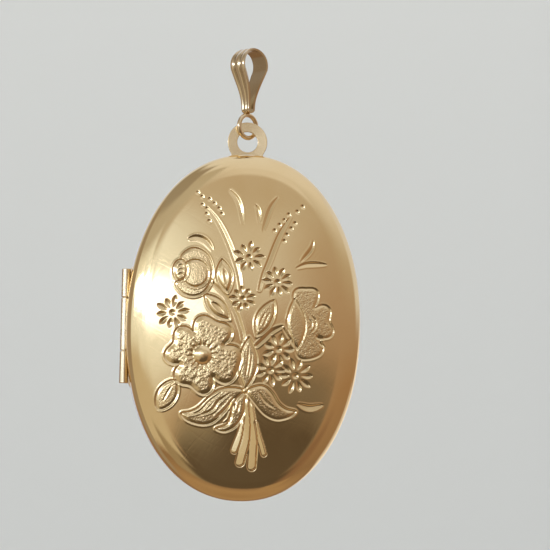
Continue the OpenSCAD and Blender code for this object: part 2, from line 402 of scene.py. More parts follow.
def edge_spacing(cells, shoulder_share):
    """Grid lines from -1 to 1, gathered towards both edges where the shoulder turns steep."""
    steps = np.arange(SHOULDER_CELLS + 1) / SHOULDER_CELLS
    edge = -1 + shoulder_share * (1 - np.cos(steps * math.pi / 2))
    middle = np.linspace(edge[-1], -edge[-1], cells - 2 * SHOULDER_CELLS + 1)
    return np.concatenate([edge[:-1], middle, -edge[::-1][1:]])


def cushion_grid(cells_x, cells_z):
    """A square grid laid over the whole oval, as x and z of each point."""
    s = edge_spacing(cells_x, SHOULDER_W / HALF_W)
    t = edge_spacing(cells_z, SHOULDER_W / HALF_H)
    s, t = np.meshgrid(s, t)
    dx = s * np.sqrt(1 - t * t / 2)
    dz = t * np.sqrt(1 - s * s / 2)
    r = np.hypot(dx, dz)
    c = np.where(r > 0, dx / np.maximum(r, 1e-9), 1.0)
    q = np.where(r > 0, dz / np.maximum(r, 1e-9), 0.0)
    k = oval_reach(c, q)
    return HALF_W * r * k * c, HALF_H * r * k * q


HINGE_X, HINGE_Y = np.array(JOINTS["cover_open"]["pos_m"][:2]) / MM
HINGE_LOW_Z = box_mm("hinge_knuckle_lower")[0][2] - CASE_Z
HINGE_HIGH_Z = box_mm("hinge_knuckle_upper")[1][2] - CASE_Z
KNUCKLE_R = HINGE_X - box_mm("hinge_knuckle_middle")[0][0]
SEAT_R = KNUCKLE_R + 0.03          # groove in the walls that the tube lies in
SEAT_BACK_R = SEAT_R + 0.12        # the same, as far as it shows on their inner faces
SEAT_RIM_R = SEAT_R + 0.13         # and in the rims
SEAT_END = 0.06                    # how far the groove runs on past the tube


def seat_tube(x, height, z, radius):
    """Points of the wall near the hinge tube, pressed back to a groove round it."""
    dx = x - HINGE_X
    away = np.maximum(np.hypot(dx, height), 1e-6)
    near = (away < radius) & (z > HINGE_LOW_Z - SEAT_END) & (z < HINGE_HIGH_Z + SEAT_END)
    grow = np.where(near, radius / away, 1.0)
    return HINGE_X + dx * grow, height * grow


SEAM_CHAMFER = 0.04                 # worn edge at the seam
WALL_ROWS = (0.55, 0.12, 0.0)       # points down the wall, as shares of its height
INNER_ROWS = (0.985, 0.95, 0.9, 0.82, 0.5)      # points up the inner face, as shares of reach


def wall_height(share):
    return SEAM_GAP + (WALL_H - SEAM_GAP) * share


def inner_height(x, z):
    """Height of the inner face over the seam plane."""
    f, inside = oval_measure(x, z, HALF_W - SHEET_T, HALF_H - SHEET_T)
    across = np.clip(inside / (SHOULDER_W - SHEET_T), 0, 1)
    turn = np.sqrt(np.clip(1 - (1 - across) ** 2, 0, 1))
    return WALL_H + (SHOULDER_H - SHEET_T) * turn + CAP_RISE * (1 - f ** 2)


def shell(name, cells_x, cells_z, relief, material, body, cad_node, side):
    """A pressed half: outer face, side wall, seam edge and inner face.

    relief gives what is added to the outer face, and how cut and punched it is.
    """
    gx, gz = cushion_grid(cells_x, cells_z)
    rows, cols = gx.shape
    height = cushion_height(gx, gz)
    cut = punch = np.zeros_like(height)
    if relief is not None:
        lift, cut, punch = relief(gx, gz)
        height = height + lift
    index = np.arange(rows * cols).reshape(rows, cols)
    ring = np.concatenate([index[0, :-1], index[:-1, -1], index[-1, :0:-1], index[:0:-1, 0]])
    count = len(ring)
    rim_x, rim_z = gx.ravel()[ring], gz.ravel()[ring]
    reach = np.hypot(rim_x, rim_z)

    rows_out = [(gx.ravel(), gz.ravel(), height.ravel())]
    for share in WALL_ROWS:
        k = (reach - (SEAM_CHAMFER if share == 0.0 else 0.0)) / reach
        rows_out.append((rim_x * k, rim_z * k, np.full(count, wall_height(share))))
    inner_k = (reach - SHEET_T) / reach
    rows_in = [(rim_x * inner_k, rim_z * inner_k, np.full(count, wall_height(share)))
               for share in (0.0, 1.0)]
    for share in INNER_ROWS:
        x, z = rim_x * inner_k * share, rim_z * inner_k * share
        rows_in.append((x, z, inner_height(x, z)))
    ring_rows = len(rows_out) + len(rows_in) - 1
    rows_in.append((np.zeros(1), np.zeros(1), np.full(1, HALF_DEPTH - SHEET_T)))
    placed = []
    for part, radius in ((rows_out, SEAT_R), (rows_in, SEAT_BACK_R)):
        x, z, h = (np.concatenate(values) for values in zip(*part))
        x, h = seat_tube(x, h, z, radius)
        placed.append(case_points(x, h, z, side))

    points = np.concatenate(placed)
    a, b = index[:-1, :-1].ravel(), index[:-1, 1:].ravel()
    c, d = index[1:, 1:].ravel(), index[1:, :-1].ravel()
    faces = np.stack([a, b, c, d], axis=1).tolist()
    rings = [ring] + [np.arange(count) + rows * cols + i * count for i in range(ring_rows)]
    for near, far in zip(rings, rings[1:]):
        near_next, far_next = np.roll(near, -1), np.roll(far, -1)
        faces += np.stack([near, far, far_next, near_next], axis=1).tolist()
    centre = len(points) - 1
    last = rings[-1]
    faces += np.stack([last, np.full(count, centre), np.roll(last, -1)], axis=1).tolist()
    if side > 0:
        faces = [f[::-1] for f in faces]
    piece = add_piece(name, points, faces, material, body, cad_node, sharp_deg=55)
    # How deep each point is cut, which the material darkens with painted shade
    mark_points(piece, "cut", cut.ravel())
    mark_points(piece, "punch", punch.ravel())


# ---------------------------------------------------------------- the engraving
# Worked in millimetres across and up from the middle of the case.

def curve_through(points, closed=False):
    """A smooth line through a few chosen points."""
    p = np.asarray(points, dtype=float)
    n = len(p)
    out = []
    for i in range(n if closed else n - 1):
        if closed:
            before, start, end, after = p[i - 1], p[i], p[(i + 1) % n], p[(i + 2) % n]
        else:
            start, end = p[i], p[i + 1]
            before = p[i - 1] if i > 0 else 2 * start - end
            after = p[i + 2] if i + 2 < n else 2 * end - start
        for t in np.arange(8) / 8:
            out.append(start + 0.5 * t * (end - before
                       + t * (2 * before - 5 * start + 4 * end - after
                              + t * (3 * (start - end) + after - before))))
    if not closed:
        out.append(p[-1])
    return np.array(out)


def ellipse(x, z, across, up):
    a = np.arange(40) * TAU / 40
    return np.stack([x + across * np.cos(a), z + up * np.sin(a)], axis=1)


def leaf(base, tip, left, right, curl=0.0, blunt=0.8):
    """Leaf outline: bellies to the left and right of its mid line, which curl bends."""
    base, tip = np.array(base), np.array(tip)
    along = tip - base
    aside = np.array([-along[1], along[0]]) / np.hypot(*along)
    t = np.linspace(0, 1, 15)[:, None]
    swell = np.sin(math.pi * t) ** blunt
    middle = base + along * t + aside * curl * np.sin(math.pi * t)
    one = middle + aside * left * swell
    two = middle - aside * right * swell
    return np.concatenate([one, two[-2:0:-1]])


def petals(x, z, notch, lobes):
    """Outline of an open flower: each petal has two rounded lobes, with a dip between.

    A petal is the angle where it starts, the reach of its two lobes, and the dip's depth.
    notch is how far out two petals meet.
    """
    count = 22
    points = []
    for i, (start, first, second, dip) in enumerate(lobes):
        end = lobes[(i + 1) % len(lobes)][0]
        span = (end - start) % 360
        t = np.arange(count) / count
        reach = first + (second - first) * smooth_step(t, 0.2, 0.8)
        full = 1 - np.abs(2 * t - 1) ** 4.5
        r = notch + (reach - notch) * full - dip * np.exp(-((t - 0.5) / 0.16) ** 2)
        a = np.radians(start + span * t)
        points.append(np.stack([x + r * np.cos(a), z + r * np.sin(a)], axis=1))
    return np.concatenate(points)


def jumble(x, z, seed):
    """Smooth repeatable noise from 0 to 1 with cells one unit wide."""
    ix, iz = np.floor(x), np.floor(z)
    tx, tz = smooth_step(x - ix, 0, 1), smooth_step(z - iz, 0, 1)

    def corner(a, b):
        return np.mod(np.sin((ix + a) * 127.1 + (iz + b) * 311.7 + seed) * 43758.5453, 1.0)

    low = corner(0, 0) * (1 - tx) + corner(1, 0) * tx
    high = corner(0, 1) * (1 - tx) + corner(1, 1) * tx
    return low * (1 - tz) + high * tz


BURR_AT, BURR_W = 0.07, 0.05       # a stroke's burr: how far out, and its width
STROKE_END = 3.0                   # how steeply a stroke's ends come up
GOUGE_SLOPE = 0.85                 # share of a gouge's half width that slopes
SHADE_AND_MATT_GAIN = 1.6                    # a cut has its full painted shade and is fully matt from 1 / 1.6 of its depth down
CLEAR_W = 0.12                     # the way in from its outline to where a panel is clear
RIDGE_AT, RIDGE_W = 0.11, 0.06     # the ridge outside a panel's outline
EDGE_W = 0.05                      # half the width of a panel's steep edge
MOAT_AT, MOAT_W = 1.14, 0.22       # a bead's moat, as shares of the bead's radius
BEAD_RIM = 1.2                     # where the punched ground starts again round a bead


class Relief:
    """What is engraved at a set of points, built up one cut at a time.

    lift is the height added to the cushion. punch is how far the ground is punched, and dull
    how far a cut is darkened inside with painted shade, and made matt.
    """

    def __init__(self, x, z):
        self.x, self.z = x.ravel(), z.ravel()
        self.lift = np.zeros(len(self.x))
        self.punch = np.zeros(len(self.x))
        self.shade_and_matt = np.zeros(len(self.x))
        self.shape = x.shape

    def near(self, line, margin):
        """Which points lie in a line's box, with a margin round it."""
        low, high = line.min(axis=0) - margin, line.max(axis=0) + margin
        inside = ((self.x > low[0]) & (self.x < high[0])
                  & (self.z > low[1]) & (self.z < high[1]))
        return np.nonzero(inside)[0]

    def distance(self, which, line, closed=False):
        """Distance to a line, share of its length run at the nearest place, and the side."""
        px, pz = self.x[which], self.z[which]
        best = np.full(len(which), 1e9)
        along = np.zeros(len(which))
        side = np.zeros(len(which))
        starts = line if closed else line[:-1]
        ends = np.roll(line, -1, axis=0) if closed else line[1:]
        lengths = np.hypot(*(ends - starts).T)
        total = lengths.sum()
        run = 0.0
        for (ax, az), (bx, bz), length in zip(starts, ends, lengths):
            if length < 1e-9:
                continue
            ux, uz = (bx - ax) / length, (bz - az) / length
            t = np.clip((px - ax) * ux + (pz - az) * uz, 0, length)
            dx, dz = px - ax - ux * t, pz - az - uz * t
            d = np.hypot(dx, dz)
            closer = d < best
            best = np.where(closer, d, best)
            along = np.where(closer, (run + t) / total, along)
            side = np.where(closer, ux * dz - uz * dx, side)
            run += length
        return best, along, side

    def inside(self, which, line):
        """Whether each chosen point lies inside a closed line."""
        px, pz = self.x[which], self.z[which]
        odd = np.zeros(len(which), dtype=bool)
        for (ax, az), (bx, bz) in zip(line, np.roll(line, -1, axis=0)):
            if az != bz:
                crosses = (az > pz) != (bz > pz)
                odd ^= crosses & (px < (bx - ax) * (pz - az) / (bz - az) + ax)
        return odd

    def stroke(self, points, width, depth, thin=(0.0, 0.0), lean=0.0, lip=0.012):
        """One graver cut with two flat facets and a burr, lip high, thrown up beside it.

        thin is the share of its width left at each end. lean moves the deepest line from the
        middle towards the left of the cut's way, up to 1 at its edge, or towards the right
        where it is negative.
        """
        line = curve_through(points)
        which = self.near(line, width)
        d, t, side = self.distance(which, line)
        swell = np.sin(math.pi * np.clip(t, 0, 1)) ** 0.6
        share = swell + (1 - swell) * (thin[0] * (1 - t) + thin[1] * t)
        half = np.maximum(width / 2 * share, 1e-3)
        u = np.clip(side / half, -1, 1)
        facet = np.minimum((u + 1) / (lean + 1), (1 - u) / (1 - lean))
        facet = np.clip(np.minimum(facet, STROKE_END * (1 - d / half)), 0, 1)
        edge = np.exp(-((d - half - BURR_AT) / BURR_W) ** 2) * (half > BURR_W)
        self.lift[which] += lip * edge - depth * np.minimum(share, 1.0) * facet

    def gouge(self, start, end, width, depth, belly=0.5, shade_and_matt=0.0):
        """A pointed cut, widest part way along, as daisy petals are made.

        dull is how far it is darkened inside with painted shade, and made matt.
        """
        start, end = np.array(start, float), np.array(end, float)
        length = np.hypot(*(end - start))
        ux, uz = (end - start) / length
        which = self.near(np.array([start, end]), width)
        px, pz = self.x[which] - start[0], self.z[which] - start[1]
        t = (px * ux + pz * uz) / length
        off = np.abs(pz * ux - px * uz)
        inside = (t > 0) & (t < 1)
        bent = np.clip(t, 1e-6, 1 - 1e-6) ** (math.log(0.5) / math.log(belly))
        swell = np.sin(math.pi * bent)
        across = np.clip(off / np.maximum(width / 2 * swell ** 0.8, 1e-4), 0, 1)
        cut = np.clip((1 - across) / GOUGE_SLOPE, 0, 1) * swell ** 0.3 * inside
        self.sink(which, depth, cut, shade_and_matt)

    def dot(self, x, z, radius, depth, shade_and_matt=0.0):
        """A round punch mark."""
        which = self.near(np.array([[x, z]]), radius)
        r = np.hypot(self.x[which] - x, self.z[which] - z) / radius
        self.sink(which, depth, np.clip(1 - r ** 2, 0, 1), shade_and_matt)

    def sink(self, which, depth, cut, shade_and_matt):
        """Takes depth away from the chosen points, by the share cut, darkens them with painted
        shade and makes them matt.
        """
        self.lift[which] -= depth * cut
        shade = shade_and_matt * np.minimum(SHADE_AND_MATT_GAIN * cut, 1.0)
        self.shade_and_matt[which] = np.maximum(self.shade_and_matt[which], shade)

    def bead(self, x, z, radius, height, moat):
        """A raised bead with a sunk ring round it."""
        which = self.near(np.array([[x, z]]), radius * 1.6)
        r = np.hypot(self.x[which] - x, self.z[which] - z)
        dome = np.sqrt(np.clip(1 - (r / radius) ** 2, 0, 1))
        ring = np.exp(-((r - radius * MOAT_AT) / (radius * MOAT_W)) ** 2)
        self.lift[which] = self.lift[which] * (r > radius) + height * dome - moat * ring
        self.punch[which] *= smooth_step(r, radius, radius * BEAD_RIM)

    def panel(self, line, depth=0.08, bank=0.27, grain=0.0, cell=0.26, crown=0.0,
              lip=0.028, punched=0.0):
        """A closed outline cut steeply outside, with a bank that rises to the ground inside.

        It clears what was cut there before. lip is the height of the ridge outside it, grain
        how rough the ground is, in lumps of one cell, and crown how far its middle stands up.
        punched is how strongly the punch's fine dots show on it, which the material draws.
        """
        which = self.near(line, 0.3)
        d, _, _ = self.distance(which, line, closed=True)
        s = np.where(self.inside(which, line), d, -d)
        kept = 1 - smooth_step(s, -EDGE_W, EDGE_W)
        self.lift[which] *= 1 - smooth_step(s, 0.0, CLEAR_W)
        self.punch[which] *= kept
        self.shade_and_matt[which] *= kept
        wall = np.clip((s + EDGE_W) / (2 * EDGE_W), 0, 1)
        rise = 1 - np.clip((s - EDGE_W) / (bank - EDGE_W), 0, 1)
        ridge = np.exp(-((s + RIDGE_AT) / RIDGE_W) ** 2)
        ground = smooth_step(s, bank * 0.6, bank * 1.05)
        x, z = self.x[which] / cell, self.z[which] / cell
        rough = jumble(x, z, 3.0) + 0.5 * jumble(2.1 * x, 2.1 * z, 8.0) - 0.75
        deepest = max(float(s.max()), 1e-3)
        dome = np.sqrt(np.clip(s / deepest, 0, 1))
        self.lift[which] += (lip * ridge - depth * wall * rise + grain * ground * rough
                             + crown * ground * dome)
        self.punch[which] += punched * ground


PETAL_W = 0.5
# Painted shade inside a petal and its heart, which also makes them matt
PETAL_SHADE_AND_MATT = 0.8
PETAL_FROM = 0.36           # where a petal starts, as a share of the daisy's radius
PETAL_UNEVEN = 0.07         # how much longer or shorter one petal is than the next
HEART_R, HEART_DEPTH = 0.27, 0.1
SEED_SHADE = 0.12           # offset of the shallow mark beside each seed


def spoke(x, z, angle, inner, outer):
    """The two ends of a cut that points away from x, z."""
    return [(x + reach * math.cos(angle), z + reach * math.sin(angle))
            for reach in (inner, outer)]


def daisy(r, x, z, radius, count, turn, depth=0.11):
    """Pointed petals cut round a small punched heart."""
    for i in range(count):
        outer = radius * (1.0 + PETAL_UNEVEN * math.sin(3 * i + turn))
        ends = spoke(x, z, math.radians(turn + 360 * i / count), radius * PETAL_FROM, outer)
        r.gouge(*ends, PETAL_W, depth, belly=0.55, shade_and_matt=PETAL_SHADE_AND_MATT)
    r.dot(x, z, HEART_R, HEART_DEPTH, shade_and_matt=PETAL_SHADE_AND_MATT)


def seed_ear(r, stem, seeds):
    """A long stem with a scatter of seeds either side of its top."""
    r.stroke(stem, 0.46, 0.075, thin=(0.15, 0.5), lean=-0.55, lip=0.012)
    for x, z in seeds:
        r.dot(x, z, 0.19, 0.06)
        r.dot(x + SEED_SHADE, z - SEED_SHADE, 0.12, 0.03)


def sprigs(r):
    """Ears of seed, loose blades and the single cuts scattered round the bouquet."""
    seed_ear(r, [(-3.9, 11.0), (-2.9, 9.8), (-2.0, 8.2), (-1.3, 6.5), (-0.8, 4.9), (-0.5, 3.0)],
             [(-4.75, 12.3), (-4.35, 11.9), (-3.65, 11.7), (-3.2, 11.3), (-2.75, 10.85),
              (-2.5, 10.35), (-4.3, 11.15), (-3.9, 10.8), (-3.9, 10.3), (-3.65, 9.65)])
    seed_ear(r, [(4.0, 10.4), (3.1, 8.9), (2.5, 7.5), (2.0, 6.1), (1.5, 4.8), (1.15, 3.4)],
             [(3.75, 10.5), (3.35, 9.95), (2.9, 9.5), (2.45, 8.95), (4.55, 10.8), (5.05, 11.3),
              (4.35, 9.7), (4.0, 9.2), (3.6, 8.6), (3.35, 8.0)])
    r.stroke([(-1.85, 12.75), (-1.1, 11.9), (-0.7, 10.9), (-0.5, 9.4)], 0.42, 0.1, lean=-0.4)
    r.stroke([(0.6, 11.4), (0.95, 10.8), (1.05, 9.6)], 0.38, 0.1, lean=-0.4)
    r.stroke([(2.8, 12.2), (2.0, 11.0), (1.3, 8.8)], 0.42, 0.06, lean=0.3)
    r.stroke([(6.15, 8.2), (5.9, 7.3), (4.95, 6.1)], 0.42, 0.09, lean=0.3)
    r.stroke([(4.5, 5.5), (5.4, 5.85), (6.3, 5.95), (7.5, 5.95)], 0.46, 0.1, lean=0.3)
    r.stroke([(4.9, -7.05), (6.1, -7.4), (7.4, -7.1)], 0.6, 0.1, lean=0.5)
    r.stroke([(-5.6, 7.95), (-4.8, 8.15), (-3.9, 7.8), (-3.2, 6.9)], 0.5, 0.1, lip=0.025)


def rose(r):
    """Rosebud at the left: an outer petal, an inner petal and a ribbed heart."""
    r.panel(curve_through([(-6.2, 6.15), (-5.55, 6.95), (-4.7, 7.1), (-3.75, 6.55),
                           (-3.25, 5.4), (-3.3, 4.1), (-3.9, 3.05), (-4.9, 2.6), (-5.95, 2.85),
                           (-6.6, 3.55), (-6.5, 4.0), (-5.7, 4.1), (-5.4, 5.2)], closed=True),
            bank=0.2, grain=0.006, punched=0.8)
    r.panel(ellipse(-4.85, 4.75, 1.27, 1.3), grain=0.006, punched=0.8, bank=0.2, crown=0.04)
    r.panel(ellipse(-6.2, 5.0, 0.7, 1.02), bank=0.22, crown=0.06)
    for up in (5.4, 5.0, 4.6):
        r.stroke([(-6.45, up - 0.05), (-6.15, up + 0.1), (-5.85, up - 0.2)], 0.22, 0.07)


def stalk(r, points, lean=-0.4):
    r.stroke(points, 0.46, 0.08, thin=(0.3, 0.8), lean=lean, lip=0.02)


def side_leaves(r):
    """Leaves that stand among the flowers, over the broad ones at the bottom."""
    stalk(r, [(-3.35, 4.05), (-2.1, 2.95), (-1.1, 1.5), (-0.4, -0.3), (-0.2, -1.2)])
    r.panel(leaf((-1.8, 3.05), (-2.4, 6.15), 0.8, 0.7), crown=0.05)
    r.stroke([(-2.2, 5.3), (-2.0, 4.6), (-1.95, 3.8)], 0.42, 0.07, lean=-0.5)
    r.panel(leaf((-1.55, 0.55), (-3.95, 2.85), 0.72, 0.72), crown=0.05)
    r.stroke([(-3.3, 2.15), (-2.75, 1.75), (-2.15, 1.15)], 0.5, 0.08, lean=0.5)
    r.panel(leaf((1.0, -0.9), (2.5, 2.5), 0.75, 0.85, curl=0.1), grain=0.006, punched=0.7)
    for x in (1.35, 1.75, 2.25):
        r.stroke([(x - 0.15, 0.0), (x + 0.05, 0.6), (x + 0.4, 1.3)], 0.2, 0.07)
    stalk(r, [(3.35, 0.1), (2.4, -0.4), (1.7, -1.1), (1.0, -1.75)], lean=0.2)
    r.panel(leaf((-6.35, -5.1), (-7.9, -7.9), 0.9, 0.95, blunt=0.6), depth=0.06, lip=0.02,
            punched=0.5)
    r.stroke([(-6.7, -5.6), (-7.1, -6.3), (-7.5, -7.1)], 0.2, 0.05)
    r.panel(leaf((0.05, -5.9), (0.25, -1.0), 0.8, 1.0, blunt=0.9), depth=0.06, punched=0.8,
            lip=0.02)
    for x, top in ((-0.3, -2.6), (0.2, -1.7), (0.5, -2.4)):
        r.stroke([(x - 0.2, -4.9), (x, -3.6), (x + 0.1, top)], 0.2, 0.03)


def open_flower(r):
    """The large flower: four two-lobed petals of punched ground round a bead."""
    x, z = -4.0, -2.75
    outline = petals(x, z, 2.35, [(25, 3.75, 3.75, 0.35), (112.6, 3.5, 3.6, 0.6),
                                  (204, 3.5, 3.8, 0.55), (298, 3.75, 3.75, 0.1)])
    r.panel(outline, depth=0.09, bank=0.5, grain=0.034, cell=0.2, lip=0.03, punched=0.9)
    cuts = 16
    for i in range(cuts):
        r.gouge(*spoke(x, z, i * TAU / cuts + 0.1, 0.75, 1.5), 0.26, 0.06)
    r.bead(x, z, 0.8, 0.16, 0.06)


def half_flower(r):
    """A flower at the right that shows behind its own calyx leaf."""
    x, z = 5.3, 0.4
    outline = petals(x, z, 1.9, [(54, 3.5, 3.35, 0.1), (118, 1.6, 1.6, 0.0),
                                 (250, 3.4, 3.4, 0.0), (320, 3.1, 3.0, 0.5)])
    r.panel(outline, depth=0.055, bank=0.3, grain=0.016, cell=0.17, lip=0.006, punched=1.0)
    r.stroke([(6.5, -0.75), (6.9, -0.95), (7.4, -1.05)], 0.22, 0.07)
    r.stroke([(6.8, -1.3), (7.1, -1.5), (7.4, -1.8)], 0.2, 0.07)
    for reach in (0.55, 0.95):
        arc = [(5.55 + reach * math.cos(a), 0.35 + reach * math.sin(a))
               for a in (-1.1, -0.5, 0.0, 0.5, 1.1)]
        r.stroke(arc, 0.24, 0.07, lip=0.02)
    r.panel(leaf((4.85, -2.0), (4.45, 2.7), 0.85, 0.95, blunt=0.85), depth=0.06, crown=0.03,
            lip=0.012, punched=0.7)
    r.stroke([(3.3, 0.1), (3.9, -0.75), (4.75, -2.1)], 0.3, 0.08, lip=0.02)


def broad_leaves(r):
    """Three long leaves that spread from the knot under the flowers."""
    r.panel(curve_through([(0.0, -5.95), (-1.2, -5.65), (-2.4, -5.9), (-3.3, -6.6), (-4.2, -7.5),
                           (-5.0, -7.95), (-5.8, -8.15), (-5.3, -8.8), (-4.0, -9.2),
                           (-2.9, -9.0), (-1.9, -8.1), (-1.0, -6.9)], closed=True),
            bank=0.3, grain=0.006, punched=0.7)
    for vein in ([(-2.1, -6.1), (-3.2, -6.95), (-4.1, -7.9), (-5.2, -8.3)],
                 [(-1.5, -6.3), (-2.4, -7.0), (-3.0, -7.8), (-4.0, -8.25)],
                 [(-1.0, -6.6), (-1.7, -7.6), (-2.7, -8.5)]):
        r.stroke(vein, 0.32, 0.06, thin=(0.3, 0.3), lean=0.3, lip=0.022)
    r.panel(curve_through([(0.1, -6.1), (-0.8, -6.75), (-1.2, -7.6), (-1.3, -8.5), (-1.7, -9.1),
                           (-2.6, -9.5), (-1.8, -9.8), (-0.8, -9.35), (-0.1, -8.4),
                           (0.15, -7.3)], closed=True), bank=0.3, grain=0.006, punched=0.7)
    r.stroke([(-1.15, -7.8), (-1.35, -8.6), (-1.9, -9.05)], 0.28, 0.06, lip=0.022)
    r.stroke([(-0.8, -7.1), (-0.9, -7.7)], 0.2, 0.07)
    r.stroke([(-0.45, -7.0), (-0.6, -8.0)], 0.2, 0.07)
    r.panel(curve_through([(0.2, -6.0), (1.1, -5.45), (1.9, -5.5), (2.6, -6.1), (3.2, -7.0),
                           (3.9, -7.5), (4.8, -7.75), (4.3, -8.3), (3.1, -8.6), (2.0, -8.2),
                           (1.1, -7.3)], closed=True), bank=0.32, grain=0.006, punched=0.7)
    r.stroke([(1.3, -6.0), (2.0, -6.9), (2.9, -7.55)], 0.32, 0.06, lip=0.022)


STALK_RISE, STALK_SINK = 0.13, 0.03         # a cut stalk's tilt, and how deep its low edge is
DITCH_DEPTH, DITCH_W = 0.03, 0.06
STALK_TAPER = 0.45                          # share of its width lost at the top


def cut_stalks(r):
    """Four flat cut stalks that fan out below the knot, each tilted up at one side."""
    for top, bend, foot, width in (((-0.1, -8.6), (-0.35, -10.0), (-0.8, -11.4), 0.6),
                                   ((0.2, -6.6), (0.32, -9.8), (-0.25, -12.5), 0.78),
                                   ((0.5, -6.8), (0.95, -9.6), (0.85, -12.9), 0.74),
                                   ((1.05, -8.6), (1.5, -10.2), (1.95, -11.7), 0.46)):
        line = curve_through([top, bend, foot])
        which = r.near(line, 0.7)
        d, t, side = r.distance(which, line)
        half = width / 2 * (1 - STALK_TAPER * (1 - smooth_step(t, 0.1, 0.8)))
        strength = smooth_step(t, 0.0, 0.12)
        inside = np.clip((1 - d / half) / 0.2, 0, 1)
        tilt = np.clip(0.5 + 0.5 * side / half, 0, 1)
        ditch = np.exp(-((d - half * 1.04) / DITCH_W) ** 2)
        r.lift[which] *= 1 - np.clip(1.3 - d / half, 0, 1) * strength
        r.lift[which] += strength * (inside * (STALK_RISE * tilt - STALK_SINK)
                                     - DITCH_DEPTH * ditch)
    r.bead(0.05, -5.95, 0.2, 0.04, 0.07)


CUT_FULL = 0.12             # a cut this deep takes the whole painted shade
SHADE_AND_MATT_PUNCH = 0.6            # how punched the ground is where a cut has painted shade and is matt


def bouquet(gx, gz):
    """The whole engraving, back to front: its lift, and how cut and how punched it is."""
    r = Relief(gx, gz)
    sprigs(r)
    for place in ((-6.85, 1.1, 1.5, 10, 8), (0.1, 6.4, 1.4, 9, 2), (2.8, 4.15, 1.4, 10, -6),
                  (-0.4, 2.5, 1.15, 9, 15)):
        daisy(r, *place)
    rose(r)
    half_flower(r)
    for place in ((2.35, -4.0, 1.4, 9, 0), (4.7, -4.45, 1.6, 10, 0), (3.05, -2.05, 1.45, 9, 0)):
        daisy(r, *place, depth=0.08)
    side_leaves(r)
    broad_leaves(r)
    open_flower(r)
    cut_stalks(r)
    # Painted shade: the deeper a point is cut, the darker, and darker still where a cut is marked
    # for shade
    cut = np.clip(-r.lift / CUT_FULL, 0, 1) + r.shade_and_matt
    punch = np.clip(r.punch + SHADE_AND_MATT_PUNCH * r.shade_and_matt, 0, 1)
    return tuple(v.reshape(r.shape) for v in (r.lift, cut, punch))


shell("cover_shell", 300, 440, bouquet, gold_engraved, "cover", "front_shell", -1)
shell("back_shell_domed", 96, 128, None, gold_polished, "back_case", "back_shell", 1)


# ---------------------------------------------------------------- rims and frames inside

def oval_sweep(name, section, body, cad_node, side, seat=True):
    """A closed section of (inset, height) carried round the oval, in the inner gold."""
    rows = []
    for inset, height in section:
        x, z = oval_ring(inset, 288)
        h = np.full(len(x), float(height))
        if seat:
            x, h = seat_tube(x, h, z, SEAT_RIM_R)
        rows.append(case_points(x, h, z, side))
    skinned(name, rows, gold_inner, body, cad_node, 40, flip=side > 0)


BAND_OUT = SHEET_T              # insets of the cover's band from the outline
BAND_IN = BAND_OUT + 0.3
BAND_DEPTH = SEAM_Y - BAND_LOW[1]
LIP_H = SEAM_Y - SNAP_LOW[1]
LIP_OUT = BAND_IN + 0.05        # insets of the back's lip, a little clear of the band
RIM_IN = LIP_OUT + 0.25
LEDGE = LIP_H + 0.08            # the lip's end stops short of the band's ledge
SOFT = 0.05                     # worn corners
TUCK = 0.17                     # how far the rims' deep edge keeps off the shoulder
RIM_FOOT = [(RIM_IN, BAND_DEPTH), (BAND_OUT + TUCK, BAND_DEPTH), (BAND_OUT, WALL_H)]

oval_sweep("cover_inner_rim", [
    (BAND_OUT, SEAM_GAP), (BAND_IN - SOFT, SEAM_GAP), (BAND_IN, SEAM_GAP + SOFT),
    (BAND_IN, LEDGE), (RIM_IN - SOFT, LEDGE), (RIM_IN, LEDGE + SOFT)] + RIM_FOOT,
    "cover", "front_inner_rim", -1)
oval_sweep("back_snap_lip", [
    (BAND_OUT, SEAM_GAP), (LIP_OUT, SEAM_GAP), (LIP_OUT, -LIP_H + 2 * SOFT),
    (LIP_OUT + SOFT, -LIP_H), (RIM_IN - SOFT, -LIP_H), (RIM_IN, -LIP_H + SOFT)] + RIM_FOOT,
    "back_case", "back_snap_rim", 1)

FRAME_LOW, FRAME_HIGH = box_mm("photo_frame_front")
FRAME_OUT = HALF_H - (FRAME_HIGH[2] - FRAME_LOW[2]) / 2
FRAME_IN = FRAME_OUT + 1.3
BEAD_R, BEAD_H = 0.18, 0.12     # the bead along its opening
BEAD_AT = FRAME_IN - 0.2
BEAD_FOOT = FRAME_IN - 0.42     # where the flat ring starts to rise to it
BEAD_STEPS = 8
FRAME_FLAT = SEAM_Y - FRAME_HIGH[1] + BEAD_H
FRAME_FOOT = SEAM_Y - FRAME_LOW[1]


def photo_frame(name, body, cad_node, side):
    """A flat gold ring with a rounded bead along its opening."""
    section = [(FRAME_OUT, FRAME_FOOT), (FRAME_OUT, FRAME_FLAT + SOFT),
               (FRAME_OUT + SOFT, FRAME_FLAT), (BEAD_FOOT, FRAME_FLAT)]
    for i in range(BEAD_STEPS + 1):
        a = math.pi * i / BEAD_STEPS
        section.append((BEAD_AT - BEAD_R * math.cos(a), FRAME_FLAT - BEAD_H * math.sin(a)))
    section += [(FRAME_IN, FRAME_FLAT + SOFT), (FRAME_IN, FRAME_FOOT)]
    oval_sweep(name, section, body, cad_node, side, seat=False)


photo_frame("picture_frame_cover", "cover", "photo_frame_front", -1)
photo_frame("picture_frame_back", "back_case", "photo_frame_back", 1)

SHEET_SOFT = 0.03
SHEET_GAP = 0.025


